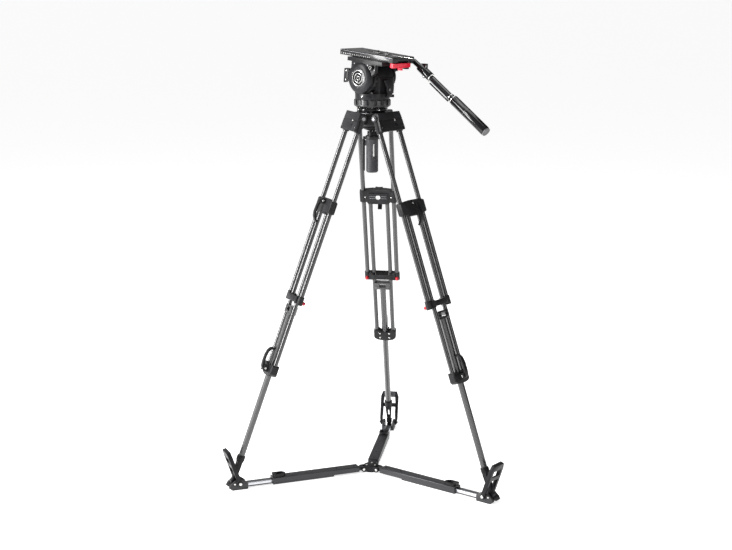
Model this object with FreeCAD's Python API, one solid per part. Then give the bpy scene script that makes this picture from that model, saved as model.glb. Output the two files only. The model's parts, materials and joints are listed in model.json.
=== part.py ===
import FreeCAD, Part
import math
import os

# Broadcast tripod with a ground spreader and a fluid head, in millimetres.
# Own frame: +Z up, floor at Z = 0, tripod axis on Z, the rear leg toward +Y.

V = FreeCAD.Vector

# ---- overall layout ----
LEG_ANGLES = {"rear": 90.0, "left": 210.0, "right": 330.0}
FOOT_RADIUS = 512.0
FOOT_PIVOT_Z = 27.0
HINGE_RADIUS = 58.2
HINGE_Z = 1258.0
LEG_SPLAY = math.degrees(math.atan2(FOOT_RADIUS - HINGE_RADIUS, HINGE_Z - FOOT_PIVOT_Z))
LEG_LENGTH = math.hypot(FOOT_RADIUS - HINGE_RADIUS, HINGE_Z - FOOT_PIVOT_Z)
RUN = 0.06          # radial clearance of a running fit
SEAT = 0.02         # radial clearance of a glued or pressed seat

# ---- legs, measured along the leg from its hinge ----
UPPER_T = 54.0      # half spacing of the upper tubes
UPPER_R = 8.0
MIDDLE_T = 30.0     # half spacing of the middle tubes
MIDDLE_R = 7.5
LOWER_R = 11.0
TUBE_WALL = 1.3
UPPER_TOP = 12.0
FITTING_MID = 646.0
FITTING_HALF = 15.0
CLAMP_MID = 315.0
LOWER_CLAMP_MID = 905.0
GUIDE_MID = 688.0
LOWER_TUBE_END = 1240.0
FOOT_BALL_R = 9.5
FOOT_BALL_N = -5.0   # the ball sits a little inward of the tube
LEVER_PIN_R = 3.0

# ---- bowl, crown and tie-down ----
BOWL_R = 50.0       # 100 mm bowl
BOWL_Z = 1271.0
SHELL_R = 56.0
CUP_IN_R = 56.4
CUP_OUT_R = 61.0
CROWN_R = 58.0
CROWN_LOW_Z = 1236.0
CROWN_HOLE_R = 26.0
LUG_HALF = 36.0
LUG_R = 8.0
PIN_R = 5.0
PIN_HALF = 66.0
STEM_R = 9.0
GRIP_R = 20.5
GRIP_LOW_Z = 1069.0
GRIP_TOP_Z = 1181.0

# ---- spreader, arm frame: X outward, Y across, Z up ----
ARM_PIVOT_X = 34.0
ARM_PIVOT_Z = 12.0
ARM_END = 372.0
ARM_HALF = 19.0
ARM_LOW = 1.0
ARM_TOP = 25.0
BAR_HALF = 12.0
BAR_LOW = 4.0
BAR_TOP = 18.0
BAR_START = 245.0
SLIDE_GAP = 0.4
CHEEK_IN = 15.5
CHEEK_OUT = 23.0
PEDAL_X = 495.0
TOE_GAP = 34.0
PEDAL_Z = 24.0
PEDAL_LEAN = 19.0

# ---- fluid head, head frame: U rearward, V to the far side ----
HEAD_TURN = -35.5   # the way the head is panned
TILT_Z = 1391.0
CRADLE_PITCH = 5.1  # rear end stored a little low
CORE_R = 44.0
FLANGE_R = 52.0
DRUM_R = 48.0
BOSS_R = 36.0
PLATE_LEN = 242.0
PLATE_U = 1.7
PLATE_V0 = -40.0
PLATE_V1 = 65.0
PLATE_Z0 = 64.3
PLATE_Z1 = 82.5
BAR_V = 81.0        # the pan bar runs beside the plate
NECK_R = 9.0
SLEEVE_R = 14.5
ROD_R = 10.5
GRIP_BAR_R = 16.5
BAR_SLOPE = 34.3


def box(x0, x1, y0, y1, z0, z1):
    return Part.makeBox(x1 - x0, y1 - y0, z1 - z0, V(x0, y0, z0))


def cyl(radius, start, direction, length):
    return Part.makeCylinder(radius, length, V(*start), V(*direction))


def prism(points, sweep):
    """Solid swept from a closed polygon."""
    ring = [V(*p) for p in points]
    ring.append(ring[0])
    return Part.Face(Part.makePolygon(ring)).extrude(V(*sweep))


def turned(profile, at=(0, 0, 0), direction=(0, 0, 1)):
    """Solid of revolution from (radius, height) points."""
    ring = [V(r, 0, h) for r, h in profile]
    ring.append(ring[0])
    solid = Part.Face(Part.makePolygon(ring)).revolve(V(0, 0, 0), V(0, 0, 1), 360)
    turn = FreeCAD.Rotation(V(0, 0, 1), V(*direction))
    solid.Placement = FreeCAD.Placement(V(*at), turn)
    return solid


def fuse(first, *rest):
    return first.multiFuse(list(rest)).removeSplitter()


def cut(first, *tools):
    for tool in tools:
        first = first.cut(tool)
    return first


def soften(shape, size, pick):
    """Round the edges that pick() accepts, keeping the plain shape if one refuses."""
    edges = [e for e in shape.Edges if pick(e)]
    try:
        rounded = shape.makeFillet(size, edges)
    except Part.OCCError:
        return shape
    return rounded if rounded.isValid() else shape


def along(direction):
    """Edge test: straight and parallel to the direction."""
    wanted = V(*direction)

    def test(edge):
        if len(edge.Vertexes) != 2 or edge.Curve.TypeId != "Part::GeomLine":
            return False
        run = edge.Vertexes[1].Point.sub(edge.Vertexes[0].Point)
        return run.Length > 1.0 and run.cross(wanted).Length < 1e-4 * run.Length
    return test


def moved(shape, matrix):
    return shape.transformed(matrix, True)


def frame(origin, x_axis, y_axis, z_axis):
    m = FreeCAD.Matrix()
    m.A11, m.A21, m.A31 = x_axis
    m.A12, m.A22, m.A32 = y_axis
    m.A13, m.A23, m.A33 = z_axis
    m.A14, m.A24, m.A34 = origin
    return m


def leg_frame(angle):
    """X across the leg, Y outward from it, Z down along it, from the hinge."""
    a = math.radians(angle)
    s = math.radians(LEG_SPLAY)
    across = (-math.sin(a), math.cos(a), 0.0)
    outward = (math.cos(s) * math.cos(a), math.cos(s) * math.sin(a), math.sin(s))
    down = (math.sin(s) * math.cos(a), math.sin(s) * math.sin(a), -math.cos(s))
    hinge = (HINGE_RADIUS * math.cos(a), HINGE_RADIUS * math.sin(a), HINGE_Z)
    return frame(hinge, across, outward, down)


def arm_frame(angle):
    a = math.radians(angle)
    return frame((0, 0, 0), (math.cos(a), math.sin(a), 0.0), (-math.sin(a), math.cos(a), 0.0), (0, 0, 1))


def head_frame():
    return arm_frame(HEAD_TURN)


def cradle_frame():
    """Head frame pitched about the tilt axis, origin on that axis."""
    p = math.radians(CRADLE_PITCH)
    local = frame((0, 0, TILT_Z), (math.cos(p), 0, -math.sin(p)), (0, 1, 0), (math.sin(p), 0, math.cos(p)))
    return head_frame().multiply(local)


NODES = {}


def add(name, shape, matrix=None):
    NODES[name] = moved(shape, matrix) if matrix is not None else shape


def pair(make):
    """The same piece made on both sides of the leg."""
    return [make(-1.0), make(1.0)]


# ---------------------------------------------------------------- leg pieces
def tube(radius, t, start, end):
    outer = cyl(radius, (t, 0, start), (0, 0, 1), end - start)
    return outer.cut(cyl(radius - TUBE_WALL, (t, 0, start - 1), (0, 0, 1), end - start + 2))


def shoulder():
    """Die-cast yoke that carries both upper tubes and swings on the crown."""
    plate = prism([(-60, 9, -15), (60, 9, -15), (64, 9, 12), (66, 9, 50), (-66, 9, 50), (-64, 9, 12)], (0, 8, 0))
    plate = soften(plate, 5.0, along((0, 1, 0)))
    caps = []
    sides = []
    for side in (-1.0, 1.0):
        cap = box(38, 60, -8, 12, -15, -9)
        caps.append(cap if side > 0 else cap.mirror(V(0, 0, 0), V(1, 0, 0)))
        sides.append(cyl(11.5, (side * UPPER_T, 0, -9), (0, 0, 1), 61))
        sides.append(cyl(11.0, (side * 37.0, 0, 0), (side, 0, 0), 31))
        web = box(38, 50, -8, 12, -9, 42)
        sides.append(web if side > 0 else web.mirror(V(0, 0, 0), V(1, 0, 0)))
    body = fuse(plate, *caps, *sides)
    groove = box(-70, 70, 15.6, 18, 11, 12.6)
    seat = cyl(9.0, (24, 14.5, 31), (0, 1, 0), 4)
    tools = [groove, seat]
    for side in (-1.0, 1.0):
        tools.append(cyl(UPPER_R + SEAT, (side * UPPER_T, 0, UPPER_TOP - SEAT), (0, 0, 1), 60))
        tools.append(cyl(PIN_R + RUN, (side * 36.0, 0, 0), (side, 0, 0), PIN_HALF - 36.0 + 0.3))
    return cut(body, *tools)


def end_fitting():
    """Casting that closes the upper tubes and steadies the middle ones."""
    low = FITTING_MID - FITTING_HALF
    high = FITTING_MID + FITTING_HALF
    parts = []
    for side in (-1.0, 1.0):
        parts.append(cyl(10.6, (side * UPPER_T, 0, low), (0, 0, 1), high - low))
        saddle = box(30.2, 48, -13, 13, low + 2, high - 2)
        parts.append(saddle if side > 0 else saddle.mirror(V(0, 0, 0), V(1, 0, 0)))
        curve = [(-50, 6), (-38, 14), (-26, 17.2), (26, 17.2), (38, 14), (50, 6)]
        curve += [(46, 3), (34, 11), (24, 13.6), (-24, 13.6), (-34, 11), (-46, 3)]
        parts.append(prism([(t, side * n, low + 5) for t, n in curve], (0, 0, high - low - 11)))
    body = fuse(parts[0], *parts[1:])
    tools = [box(-29.9, 29.9, -13.4, 13.4, low - 1, high + 1)]
    for side in (-1.0, 1.0):
        tools.append(cyl(UPPER_R + SEAT, (side * UPPER_T, 0, low - 1), (0, 0, 1), high - low - 2))
        tools.append(cyl(MIDDLE_R + RUN, (side * MIDDLE_T, 0, low - 1), (0, 0, 1), high - low + 2))
    return cut(body, *tools)


def slider_clamp():
    """Clamp that slides on the upper tubes and carries the middle ones."""
    top = CLAMP_MID - 26.0
    low = CLAMP_MID + 26.0
    outline = [(-66, top + 8), (-50, top + 3), (-24, top), (24, top), (50, top + 3), (66, top + 8)]
    outline += [(66, low - 6), (42, low - 6), (36, low + 2), (-36, low + 2), (-42, low - 6), (-66, low - 6)]
    body = prism([(t, -11.5, s) for t, s in outline], (0, 24.0, 0))
    body = soften(body, 4.0, along((0, 0, 1)))
    parts = [box(-34, 34, -15.0, -11.0, top + 10, low - 8)]
    for side in (-1.0, 1.0):
        parts.append(cyl(12.4, (side * UPPER_T, 0, top + 4), (0, 0, 1), low - top - 8))
        ear = box(8, 13, 11, 28, top + 4, top + 22)
        parts.append(ear if side > 0 else ear.mirror(V(0, 0, 0), V(1, 0, 0)))
    body = fuse(body, *parts)
    tools = [cyl(LEVER_PIN_R + RUN, (-14, 22, top + 13), (1, 0, 0), 28)]
    for side in (-1.0, 1.0):
        tools.append(cyl(UPPER_R + RUN, (side * UPPER_T, 0, top - 5), (0, 0, 1), 70))
        tools.append(cyl(MIDDLE_R + SEAT, (side * MIDDLE_T, 0, top + 14), (0, 0, 1), 60))
    return cut(body, *tools)


def lower_clamp():
    """Clamp that closes the middle tubes and grips the lower one."""
    top = LOWER_CLAMP_MID - 21.0
    low = LOWER_CLAMP_MID + 21.0
    outline = [(-41, top + 4), (-36, top), (-24, top), (-15, top + 7), (15, top + 7), (24, top), (36, top)]
    outline += [(41, top + 4), (41, low - 12), (30, low - 3), (14, low), (-14, low), (-30, low - 3), (-41, low - 12)]
    body = prism([(t, -13.0, s) for t, s in outline], (0, 27.0, 0))
    body = soften(body, 5.0, along((0, 0, 1)))
    parts = []
    for side in (-1.0, 1.0):
        ear = box(8, 13, 13, 31, top + 10, top + 30)
        parts.append(ear if side > 0 else ear.mirror(V(0, 0, 0), V(1, 0, 0)))
    body = fuse(body, *parts)
    tools = [cyl(LEVER_PIN_R + RUN, (-14, 24, top + 20), (1, 0, 0), 28)]
    tools.append(cyl(LOWER_R + RUN, (0, 0, top - 5), (0, 0, 1), 60))
    for side in (-1.0, 1.0):
        tools.append(cyl(MIDDLE_R + SEAT, (side * MIDDLE_T, 0, top - 5), (0, 0, 1), 36))
    return cut(body, *tools)


def strap(profile, pin_at):
    """Curved clamp lever cut from a side profile, with its pin."""
    half = 7.5
    bar = prism([(-half, n, s) for n, s in profile], (2 * half, 0, 0))
    n, s = pin_at
    return bar.fuse(cyl(LEVER_PIN_R, (-12.6, n, s), (1, 0, 0), 25.2))


def upper_lever():
    top = CLAMP_MID - 26.0
    outer = [(18.5, 6), (26, 4), (32, 14), (35, 34), (36, 56), (33, 72), (26, 84), (17, 91), (13.5, 88)]
    inner = [(21, 79), (27, 68), (29.5, 54), (28.5, 36), (26, 24), (22, 21), (16, 19)]
    return strap([(n, top + s) for n, s in outer + inner], (22, top + 13))


def lower_lever():
    top = LOWER_CLAMP_MID - 21.0
    outer = [(18.5, 27), (30, 28), (37, 18), (38.5, 0), (38, -24), (34, -42), (27, -52), (18, -56), (13, -54)]
    inner = [(13, -48), (18, -48.5), (24, -45), (29, -37), (31.5, -22), (31.5, 0), (28, 10), (18.5, 13)]
    return strap([(n, top + s) for n, s in outer + inner], (24, top + 20))


def lower_tube():
    """Single tube of the lowest stage with the guide shoe at its top."""
    top = GUIDE_MID - 14.0
    low = GUIDE_MID + 14.0
    shaft = cyl(LOWER_R, (0, 0, low - 6), (0, 0, 1), LOWER_TUBE_END - low + 6)
    shoe = box(-29.5, 29.5, -10.5, 10.5, top, low)
    window = box(-12, 12, -20, 20, top + 6, low - 8)
    body = fuse(shaft, shoe)
    bores = [window, cyl(LOWER_R - TUBE_WALL, (0, 0, low + 6), (0, 0, 1), 900)]
    for side in (-1.0, 1.0):
        bores.append(cyl(MIDDLE_R + RUN, (side * MIDDLE_T, 0, top - 1), (0, 0, 1), 30))
    return cut(body, *bores)


def foot_casting():
    """Tapered foot casting with a flange, a forked web and a rubber-tipped ball."""
    start = LOWER_TUBE_END
    flange = turned([(0, -22), (14, -22), (14.5, -19), (14.5, -6), (12.5, 0), (0, 0)], (0, 0, start))
    end = LEG_LENGTH - 4
    neck = prism([(-12, -8, start - 2), (12, -8, start - 2), (10, -8, start + 22), (6.5, -8, end), (-6.5, -8, end),
                  (-10, -8, start + 22)], (0, 16, 0))
    neck = soften(neck, 2.0, along((0, 1, 0)))
    cheek = cyl(9.5, (-9.5, 0, LEG_LENGTH), (1, 0, 0), 19)
    splay = math.radians(LEG_SPLAY)
    drop = (FOOT_PIVOT_Z - FOOT_BALL_R + FOOT_BALL_N * math.sin(splay)) / math.cos(splay)
    ball = Part.makeSphere(FOOT_BALL_R, V(0, FOOT_BALL_N, LEG_LENGTH + drop))
    body = fuse(flange, neck, cheek, ball)
    socket = cyl(LOWER_R + SEAT, (0, 0, start - 30), (0, 0, 1), 30 + SEAT)
    slot = box(-3, 3, -20, 20, start + 16, end - 18)
    return cut(body, socket, slot)


for leg, angle in LEG_ANGLES.items():
    m = leg_frame(angle)
    add("shoulder_" + leg, shoulder(), m)
    add("upper_tubes_" + leg, Part.makeCompound(pair(lambda k: tube(UPPER_R, k * UPPER_T, UPPER_TOP, FITTING_MID + 11))), m)
    add("end_fitting_" + leg, end_fitting(), m)
    add("slider_clamp_" + leg, slider_clamp(), m)
    add("middle_tubes_" + leg, Part.makeCompound(pair(lambda k: tube(MIDDLE_R, k * MIDDLE_T, CLAMP_MID - 11, LOWER_CLAMP_MID + 9))), m)
    add("lower_clamp_" + leg, lower_clamp(), m)
    add("upper_lever_" + leg, upper_lever(), m)
    add("lower_lever_" + leg, lower_lever(), m)
    add("lower_tube_" + leg, lower_tube(), m)
    add("foot_casting_" + leg, foot_casting(), m)


# ---------------------------------------------------------------- spreader
def spreader_arm():
    """Outer channel of one spreader arm with its hinge tongue and lever lug."""
    body = box(52, ARM_END, -ARM_HALF, ARM_HALF, 6, ARM_TOP)
    body = soften(body, 3.0, lambda e: along((1, 0, 0))(e) and e.BoundBox.ZMin > ARM_TOP - 0.1)
    strip = box(148, ARM_END, -ARM_HALF + 1, ARM_HALF - 1, ARM_LOW, 7)
    tongue = box(ARM_PIVOT_X, 54, -9, 9, ARM_PIVOT_Z - 5, ARM_PIVOT_Z + 8)
    knuckle = cyl(8.0, (ARM_PIVOT_X, -9, ARM_PIVOT_Z), (0, 1, 0), 18)
    lug = box(357, 370, -5, 5, ARM_TOP - 1, ARM_TOP + 10)
    body = fuse(body, strip, tongue, knuckle, lug)
    cavity = box(152, ARM_END + 1, -BAR_HALF - SLIDE_GAP, BAR_HALF + SLIDE_GAP, BAR_LOW - SLIDE_GAP, BAR_TOP + SLIDE_GAP)
    bore = cyl(4.0 + RUN, (ARM_PIVOT_X, -20, ARM_PIVOT_Z), (0, 1, 0), 40)
    lever_bore = cyl(2.5 + RUN, (364, -20, ARM_TOP + 5.6), (0, 1, 0), 40)
    return cut(body, cavity, bore, lever_bore)


def spreader_bar():
    """Inner bar with the open shoe that takes the foot of the leg."""
    bar = box(BAR_START, 470, -BAR_HALF, BAR_HALF, BAR_LOW, BAR_TOP)
    side = [(464, 0), (520, 0), (532, 9), (526, 20), (510, 33), (480, 33), (464, 21)]
    cheeks = []
    for low, high in ((-CHEEK_OUT, -CHEEK_IN), (CHEEK_IN, CHEEK_OUT)):
        cheeks.append(prism([(x, low, z) for x, z in side], (0, high - low, 0)))
    back = box(464, 472, -CHEEK_OUT, CHEEK_OUT, 0, BAR_TOP)
    step = box(470, 484, -CHEEK_OUT, CHEEK_OUT, 0, 5)
    toe = prism([(524.4, -CHEEK_OUT, 3.3), (532, -CHEEK_OUT, 9), (526, -CHEEK_OUT, 20), (524.4, -CHEEK_OUT, 20)],
                (0, 2 * CHEEK_OUT, 0))
    toe = toe.cut(box(520, 540, -TOE_GAP / 2, TOE_GAP / 2, 0, 30))
    body = fuse(bar, back, step, toe, *cheeks)
    return cut(body, cyl(4.0 + RUN, (PEDAL_X, -40, PEDAL_Z), (0, 1, 0), 80))


def arm_lever():
    """Oval lock lever that lies on the end of the outer arm."""
    z0 = ARM_TOP + 1.6
    ring = fuse(cyl(17, (340, 0, z0), (0, 0, 1), 8), box(340, 367.5, -17, 17, z0, z0 + 8))
    hole = fuse(cyl(9, (340, 0, z0 - 1), (0, 0, 1), 10), box(340, 358, -9, 9, z0 - 1, z0 + 9))
    slot = box(355, 380, -5.4, 5.4, z0 - 1, z0 + 9)
    body = cut(ring, hole, slot)
    return body.fuse(cyl(2.5, (364, -10, ARM_TOP + 5.6), (0, 1, 0), 20))


def pedal():
    """Foot pedal frame hinged on the shoe; local Z runs up the frame."""
    half = 34.0
    thick = 14.0
    outline = [(-half, 14), (-half, 100), (-half + 7, 120), (half - 7, 120), (half, 100), (half, 14)]
    outline += [(half - 4, -9), (half - 10, -9), (half - 10, 26), (-half + 10, 26), (-half + 10, -9), (-half + 4, -9)]
    body = prism([(-thick / 2, y, z) for y, z in outline], (thick, 0, 0))
    upper = prism([(-9, -23, 75), (-9, -21, 98), (-9, 21, 98), (-9, 23, 75)], (18, 0, 0))
    lower = box(-9, 9, -23, 23, 20, 60)
    relief = box(-9, 1, -23, 23, 55, 80)
    ribs = [box(-thick / 2 - 1, -thick / 2 + 3, -24, 24, 103 + 5 * k, 105 + 5 * k) for k in range(3)]
    body = fuse(cut(body, upper, lower, relief), *ribs)
    pins = []
    for side in (-1.0, 1.0):
        pins.append(cyl(4.0, (0, side * (CHEEK_IN + 0.5), 0), (0, side, 0), half - CHEEK_IN))
    return fuse(body, *pins)


def pedal_frame(angle):
    p = math.radians(PEDAL_LEAN)
    local = frame((PEDAL_X, 0, PEDAL_Z), (math.cos(p), 0, -math.sin(p)), (0, 1, 0), (math.sin(p), 0, math.cos(p)))
    return arm_frame(angle).multiply(local)


for leg, angle in LEG_ANGLES.items():
    m = arm_frame(angle)
    add("spreader_arm_" + leg, spreader_arm(), m)
    add("spreader_bar_" + leg, spreader_bar(), m)
    add("arm_lever_" + leg, arm_lever(), m)
    add("pedal_" + leg, pedal(), pedal_frame(angle))

hub = cyl(25.5, (0, 0, 0), (0, 0, 1), 22)
pieces = []
for angle in LEG_ANGLES.values():
    clevis = box(15, ARM_PIVOT_X + 1, -15.5, 15.5, 2, 21)
    clevis = clevis.fuse(cyl(9.0, (ARM_PIVOT_X, -15.5, ARM_PIVOT_Z), (0, 1, 0), 31))
    clevis = clevis.cut(box(24.5, 60, -9.4, 9.4, -5, 40))
    pin = cyl(4.0, (ARM_PIVOT_X, -15, ARM_PIVOT_Z), (0, 1, 0), 30)
    pieces.append(moved(clevis.fuse(pin), arm_frame(angle)))
hub = fuse(hub, *pieces)
add("spreader_hub", hub)


# ---------------------------------------------------------------- crown and bowl
crown = cyl(CROWN_R, (0, 0, CROWN_LOW_Z), (0, 0, 1), BOWL_Z - CROWN_LOW_Z)
crown = crown.makeChamfer(3.0, [e for e in crown.Edges if e.BoundBox.ZMin > BOWL_Z - 0.1])
shell = Part.makeSphere(SHELL_R, V(0, 0, BOWL_Z)).common(box(-90, 90, -90, 90, 1220, CROWN_LOW_Z + 4))
lugs = []
for angle in LEG_ANGLES.values():
    m = arm_frame(angle)
    lug = box(44, HINGE_RADIUS, -LUG_HALF, LUG_HALF, HINGE_Z - LUG_R, HINGE_Z + LUG_R)
    lug = lug.fuse(cyl(LUG_R, (HINGE_RADIUS, -LUG_HALF, HINGE_Z), (0, 1, 0), 2 * LUG_HALF))
    lugs.append(moved(lug, m))
crown = fuse(crown, shell, *lugs)
crown = crown.cut(Part.makeSphere(BOWL_R + RUN, V(0, 0, BOWL_Z)))
crown = crown.cut(cyl(CROWN_HOLE_R, (0, 0, 1200), (0, 0, 1), 60))
pins = []
for angle in LEG_ANGLES.values():
    m = arm_frame(angle)
    crown = crown.cut(moved(cyl(PIN_R + SEAT, (HINGE_RADIUS, -80, HINGE_Z), (0, 1, 0), 160), m))
    pins.append(moved(cyl(PIN_R, (HINGE_RADIUS, -PIN_HALF, HINGE_Z), (0, 1, 0), 2 * PIN_HALF), m))
add("crown", crown)
add("crown_pins", Part.makeCompound(pins))

cup = Part.makeSphere(CUP_OUT_R, V(0, 0, BOWL_Z)).cut(Part.makeSphere(CUP_IN_R, V(0, 0, BOWL_Z)))
cup = cup.common(cyl(34.0, (0, 0, 1195), (0, 0, 1), 40))
cup = cup.cut(box(-21, 21, -STEM_R - 0.4, STEM_R + 0.4, 1190, 1240))
add("clamp_cup", cup)

neck_drop = math.sqrt(BOWL_R ** 2 - STEM_R ** 2)
mid_arc = BOWL_R * math.sqrt(0.5)
edges = [Part.makeLine(V(0, 0, 1273), V(BOWL_R, 0, 1273)), Part.makeLine(V(BOWL_R, 0, 1273), V(BOWL_R, 0, BOWL_Z))]
edges.append(Part.Arc(V(BOWL_R, 0, BOWL_Z), V(mid_arc, 0, BOWL_Z - mid_arc), V(STEM_R, 0, BOWL_Z - neck_drop)).toShape())
edges.append(Part.makeLine(V(STEM_R, 0, BOWL_Z - neck_drop), V(STEM_R, 0, 1150)))
edges.append(Part.makeLine(V(STEM_R, 0, 1150), V(0, 0, 1150)))
edges.append(Part.makeLine(V(0, 0, 1150), V(0, 0, 1273)))
ball = Part.Face(Part.Wire(edges)).revolve(V(0, 0, 0), V(0, 0, 1), 360)
add("half_ball", ball)

grip = turned([(0, 1069), (17, 1069), (GRIP_R, 1073), (GRIP_R, GRIP_TOP_Z), (23.5, 1182), (23.5, 1193),
               (21, 1195), (17, 1195), (17, 1208.5), (0, 1208.5)])
rib_cuts = []
for k in range(7):
    z = 1082 + 7 * k
    ring = cyl(GRIP_R + 1, (0, 0, z), (0, 0, 1), 1.6).cut(cyl(GRIP_R - 1.0, (0, 0, z - 1), (0, 0, 1), 4))
    rib_cuts.append(ring)
spine = box(-33.5, -25.0, -7, 7, 1074, 1181)
spine = soften(spine, 3.0, along((0, 0, 1)))
bridge = box(-31, -12, -6, 6, 1181.5, 1191)
foot_bridge = box(-30, -15, -5, 5, 1160, 1178)
grip = fuse(cut(grip, *rib_cuts), spine, bridge, foot_bridge)
grip = grip.cut(cyl(STEM_R + RUN, (0, 0, 1149), (0, 0, 1), 80))
add("tie_down_handle", grip)


# ---------------------------------------------------------------- fluid head, pan side
H = head_frame()
base = turned([(0, 1273), (47, 1273), (47.2, 1277.5), (FLANGE_R, 1281), (FLANGE_R, 1287), (49, 1290), (CORE_R, 1290),
               (CORE_R, 1322), (0, 1322)])
add("pan_base", base, H)

ring = turned([(CORE_R + RUN, 1290.5), (54, 1290.5), (57, 1294), (62, 1297), (62, 1316), (60, 1318), (CORE_R + RUN, 1318)])
for k in range(16):
    notch = box(57.6, 70, -5.5, 5.5, 1301, 1319)
    notch.rotate(V(0, 0, 0), V(0, 0, 1), 22.5 * k + 8)
    ring = ring.cut(notch)
add("pan_drag_ring", ring, H)

band = cyl(58.6, (0, 0, 1318.6), (0, 0, 1), 20.4)
column = box(-50, 52, -29.5, 60, 1337, TILT_Z)
column = soften(column, 17.0, along((0, 0, 1)))
drum = cyl(DRUM_R, (0, -29.5, TILT_Z), (0, 1, 0), 79.5)
far_boss = cyl(40.0, (0, 45, TILT_Z), (0, 1, 0), 18)
near_boss = cyl(BOSS_R, (0, -47, TILT_Z), (0, 1, 0), 20)
skirt = prism([(-42, -43, 1338), (42, -43, 1338), (38, -43, 1345), (-38, -43, 1345)], (0, 30, 0))
body = fuse(column, band, drum, far_boss, near_boss, skirt)
body = cut(body, cyl(CORE_R + RUN, (0, 0, 1300), (0, 0, 1), 22.5), cyl(5.0 + RUN, (40, 14, 1352), (1, 0, 0), 30))
body = body.cut(cyl(54.6, (0, -46.5, TILT_Z), (0, 1, 0), 16.5).cut(cyl(BOSS_R, (0, -48, TILT_Z), (0, 1, 0), 20)))
add("head_body", body, H)

tab = cyl(62.6, (0, 0, 1324), (0, 0, 1), 9).cut(cyl(58.9, (0, 0, 1323), (0, 0, 1), 12))
wedge = prism([(0, 0, 1323), (100, 58, 1323), (100, 160, 1323), (40, 160, 1323)], (0, 0, 12))
handle = box(59.5, 73.5, -5, 5, 1324, 1333)
handle.rotate(V(0, 0, 0), V(0, 0, 1), 43.6)
add("pan_brake_lever", fuse(tab.common(wedge), handle), H)

moon = prism([(59.2, -11, 1384), (59.2, 8, 1388), (59.2, 26, 1382), (59.2, 37, 1366), (59.2, 36, 1348),
              (59.2, 26, 1332), (59.2, 10, 1325.6), (59.2, 2, 1327), (59.2, 6, 1342), (59.2, 2, 1360)], (7.3, 0, 0))
moon = moon.fuse(cyl(5.0, (41, 14, 1352), (1, 0, 0), 19))
add("tilt_brake_lever", moon, H)

grip_ring = cyl(53.5, (0, -46.2, TILT_Z), (0, 1, 0), 15.9).cut(cyl(BOSS_R + RUN, (0, -50, TILT_Z), (0, 1, 0), 30))
for k in range(20):
    flute = cyl(4.5, (55.5, -38.5, TILT_Z), (0, 1, 0), 12)
    flute.rotate(V(0, 0, TILT_Z), V(0, 1, 0), 18 * k)
    grip_ring = grip_ring.cut(flute)
add("tilt_drag_ring", grip_ring, H)


# ---------------------------------------------------------------- fluid head, tilt side
C = cradle_frame()
pitch = math.radians(CRADLE_PITCH)
PIVOT_U = 34 * math.cos(pitch) - (1424 - TILT_Z) * math.sin(pitch)
PIVOT_H = 34 * math.sin(pitch) + (1424 - TILT_Z) * math.cos(pitch)
near = cyl(50, (0, -60, 0), (0, 1, 0), 12.4)
near_plate = prism([(-40, -60, 0), (40, -60, 0), (66, -60, 26), (66, -60, 53), (-44, -60, 53), (-44, -60, 20)], (0, 12.4, 0))
far = cyl(42, (0, 63.5, 0), (0, 1, 0), 8)
far_plate = prism([(-34, 63.5, 0), (34, 63.5, 0), (46, 63.5, 53), (-38, 63.5, 53)], (0, 8, 0))
deck = box(-64, 94, -60, 71.5, 51.2, 63.8)
rail = prism([(-64, -8, 63), (-64, -11, 69.5), (-64, 37, 69.5), (-64, 34, 63)], (158, 0, 0))
pod_arm = box(-60, -40, -58, -49, 6, 18)
pod = box(-76, -57, -60, -46, -24, 24)
pod = soften(pod, 3.0, along((0, 1, 0)))
pod = pod.cut(prism([(-56, -61, -11), (-56, -61, -25), (-71, -61, -25)], (0, 16, 0)))
cover = turned([(0, 0), (51.5, 0), (51.5, 3.5), (43, 10), (31, 10), (31, 8.4), (0, 8.4)], (0, -59.9, 0), (0, -1, 0))
bracket = fuse(box(78, 94, 38, 54, 40, 52), box(90, 113, 38, 54, 40, 45.6))
cradle = fuse(near, near_plate, far, far_plate, deck, rail, pod_arm, pod, cover, bracket)
relief = cyl(54.8, (0, -47.4, 0), (0, 1, 0), 17.6).cut(cyl(30, (0, -48, 0), (0, 1, 0), 20))
cradle = cradle.cut(relief)
cradle = cut(cradle, cyl(LEVER_PIN_R + RUN, (50, -61, 41), (0, 1, 0), 10))
cradle = cut(cradle, cyl(5.0 + RUN, (PIVOT_U, 60, PIVOT_H), (0, 1, 0), 20))
cradle = cut(cradle, cyl(4.0 + RUN, (106, 46, 35), (0, 0, 1), 15))
add("tilt_cradle", cradle, C)

knob = turned([(0, 0), (8.5, 0), (8.5, 7), (7, 8.5), (0, 8.5)], (50, -60.4, 41), (0, -1, 0))
knob = knob.fuse(cyl(LEVER_PIN_R, (50, -60.5, 41), (0, 1, 0), 8))
add("counterbalance_knob", knob, C)

plate = box(PLATE_U - PLATE_LEN / 2, PLATE_U + PLATE_LEN / 2, PLATE_V0, PLATE_V1, PLATE_Z0, PLATE_Z1)
plate = plate.makeChamfer(1.2, [e for e in plate.Edges if e.BoundBox.ZMin > PLATE_Z1 - 0.1])
track = prism([(-200, -8.6, 63), (-200, -11.8, 70), (-200, 37.8, 70), (-200, 34.6, 63)], (400, 0, 0))
slot = fuse(box(-30, 70, 9.6, 16.4, 60, 90), cyl(3.4, (-30, 13, 60), (0, 0, 1), 30), cyl(3.4, (70, 13, 60), (0, 0, 1), 30))
plate = cut(plate, track, slot)
studs = []
for u in (5.0, 45.0):
    stud = fuse(cyl(4.7625 if u < 10 else 3.175, (u, 13, 82), (0, 0, 1), 8.5), cyl(9.0, (u, 13, 70.6), (0, 0, 1), 12.4))
    studs.append(stud)
plate = fuse(plate.cut(box(-6, 56, 3.8, 22.2, 69, 83.5)), box(-6, 56, 3.8, 22.2, 70.4, 80), *studs)
add("camera_plate", plate, C)

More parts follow.
